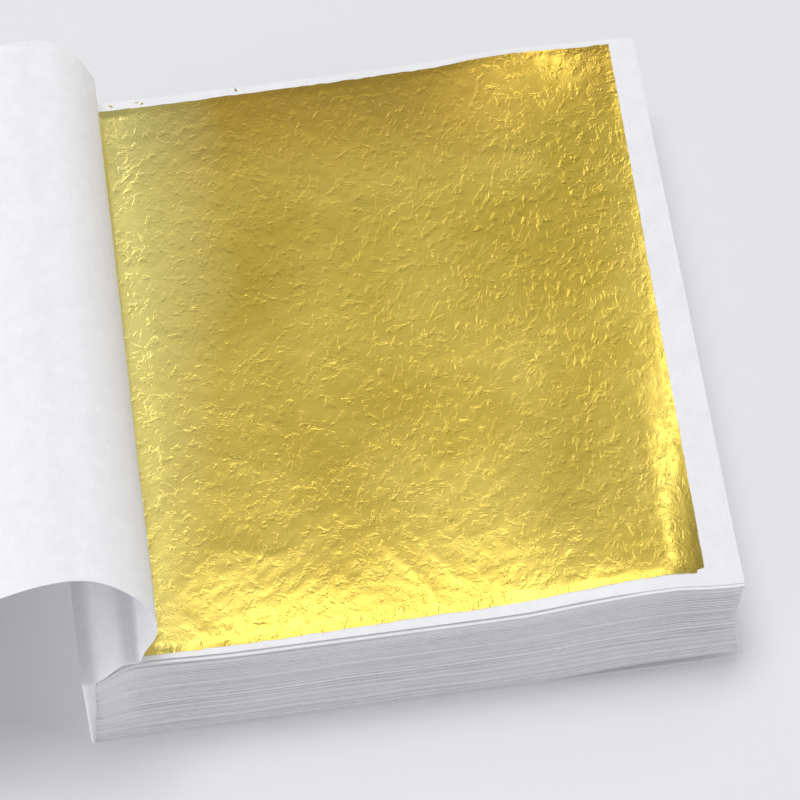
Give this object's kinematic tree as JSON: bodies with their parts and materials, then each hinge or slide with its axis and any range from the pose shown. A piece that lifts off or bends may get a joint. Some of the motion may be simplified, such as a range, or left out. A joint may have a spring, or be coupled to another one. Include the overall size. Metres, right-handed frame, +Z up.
{
  "type": "gold leaf booklet",
  "caption": "Square spine-glued booklet of white tissue interleaves holding gold-coloured leaf, with the first sheet rolled back over the spine to show a leaf.",
  "frame": {"origin": "centre of the page block's underside, on the table", "axes": "+X from the spine to the fore-edge, +Y along the spine from front to back, +Z up"},
  "size_m": [0.1334, 0.0936, 0.0437],
  "materials": {
    "tissue": "matte",
    "leaf": "satin",
    "glue": "satin"
  },
  "bodies": {
    "page_block": {"bottom_sheet": "tissue", "page_section_01": "tissue", "leaf_section_01": "leaf", "page_section_02": "tissue", "leaf_section_02": "leaf", "page_section_03": "tissue", "leaf_section_03": "leaf", "page_section_04": "tissue", "leaf_section_04": "leaf", "page_section_05": "tissue", "leaf_section_05": "leaf", "page_section_06": "tissue", "leaf_section_06": "leaf", "page_section_07": "tissue", "leaf_section_07": "leaf", "page_section_08": "tissue", "leaf_section_08": "leaf", "spine_glue_lower": "glue"},
    "upper_pages": {"page_section_09": "tissue", "leaf_section_09": "leaf", "spine_glue_upper": "glue"},
    "top_pages": {"page_section_10": "tissue", "leaf_section_10": "leaf", "spine_glue_top": "glue", "open_page": "tissue", "turned_sheet_root": "tissue"},
    "open_leaf": {"open_leaf": "leaf"},
    "turned_band_01": {"turned_sheet_band_01": "tissue"},
    "turned_band_02": {"turned_sheet_band_02": "tissue"},
    "turned_band_03": {"turned_sheet_band_03": "tissue"},
    "turned_band_04": {"turned_sheet_band_04": "tissue"},
    "turned_band_05": {"turned_sheet_band_05": "tissue"},
    "turned_band_06": {"turned_sheet_band_06": "tissue"},
    "turned_band_07": {"turned_sheet_band_07": "tissue"}
  },
  "joints": [
    {"name": "upper_pages_lift", "type": "hinge", "parent": "page_block", "child": "upper_pages", "pos_m": [-0.04435, 0, 0.01294], "axis": [0, -1, 0], "range_deg": [0, 6]},
    {"name": "top_pages_lift", "type": "hinge", "parent": "upper_pages", "child": "top_pages", "pos_m": [-0.04435, 0, 0.01454], "axis": [0, -1, 0], "range_deg": [0, 6]},
    {"name": "open_leaf_slide", "type": "slide", "parent": "top_pages", "child": "open_leaf", "axis": [1, 0, 0], "range_m": [0, 0.08]},
    {"name": "sheet_turn", "type": "hinge", "parent": "top_pages", "child": "turned_band_01", "pos_m": [-0.035, 0, 0.02032], "axis": [0.0289, 0.9996, 0], "range_deg": [0, 67]},
    {"name": "sheet_turn_02", "type": "hinge", "parent": "turned_band_01", "child": "turned_band_02", "pos_m": [-0.03237, 0.00012, 0.0265], "axis": [0.0077, 0.9987, -0.0499], "range_deg": [0, 40]},
    {"name": "sheet_turn_03", "type": "hinge", "parent": "turned_band_02", "child": "turned_band_03", "pos_m": [-0.03478, 0.00032, 0.03439], "axis": [0.0098, 0.9983, -0.057], "range_deg": [0, 25]},
    {"name": "sheet_turn_04", "type": "hinge", "parent": "turned_band_03", "child": "turned_band_04", "pos_m": [-0.03999, 0.00045, 0.04019], "axis": [0.0264, 0.9968, -0.0753], "range_deg": [0, 50]},
    {"name": "sheet_turn_05", "type": "hinge", "parent": "turned_band_04", "child": "turned_band_05", "pos_m": [-0.04785, 0.00018, 0.03995], "axis": [0.0371, 0.9965, -0.0749], "range_deg": [0, 20]},
    {"name": "sheet_turn_06", "type": "hinge", "parent": "turned_band_05", "child": "turned_band_06", "pos_m": [-0.05894, -0.00055, 0.03554], "axis": [0.0241, 0.9965, -0.0802], "range_deg": [0, 9]},
    {"name": "sheet_turn_07", "type": "hinge", "parent": "turned_band_06", "child": "turned_band_07", "pos_m": [-0.07372, -0.00184, 0.02677], "axis": [0.0032, 0.9957, -0.0926], "range_deg": [0, 9]}
  ],
  "couplings": [
    {"joint": "sheet_turn_02", "follows": "sheet_turn", "ratio": 0.59701},
    {"joint": "sheet_turn_03", "follows": "sheet_turn", "ratio": 0.37313},
    {"joint": "sheet_turn_04", "follows": "sheet_turn", "ratio": 0.74627},
    {"joint": "sheet_turn_05", "follows": "sheet_turn", "ratio": 0.29851},
    {"joint": "sheet_turn_06", "follows": "sheet_turn", "ratio": 0.13433},
    {"joint": "sheet_turn_07", "follows": "sheet_turn", "ratio": 0.13433}
  ]
}
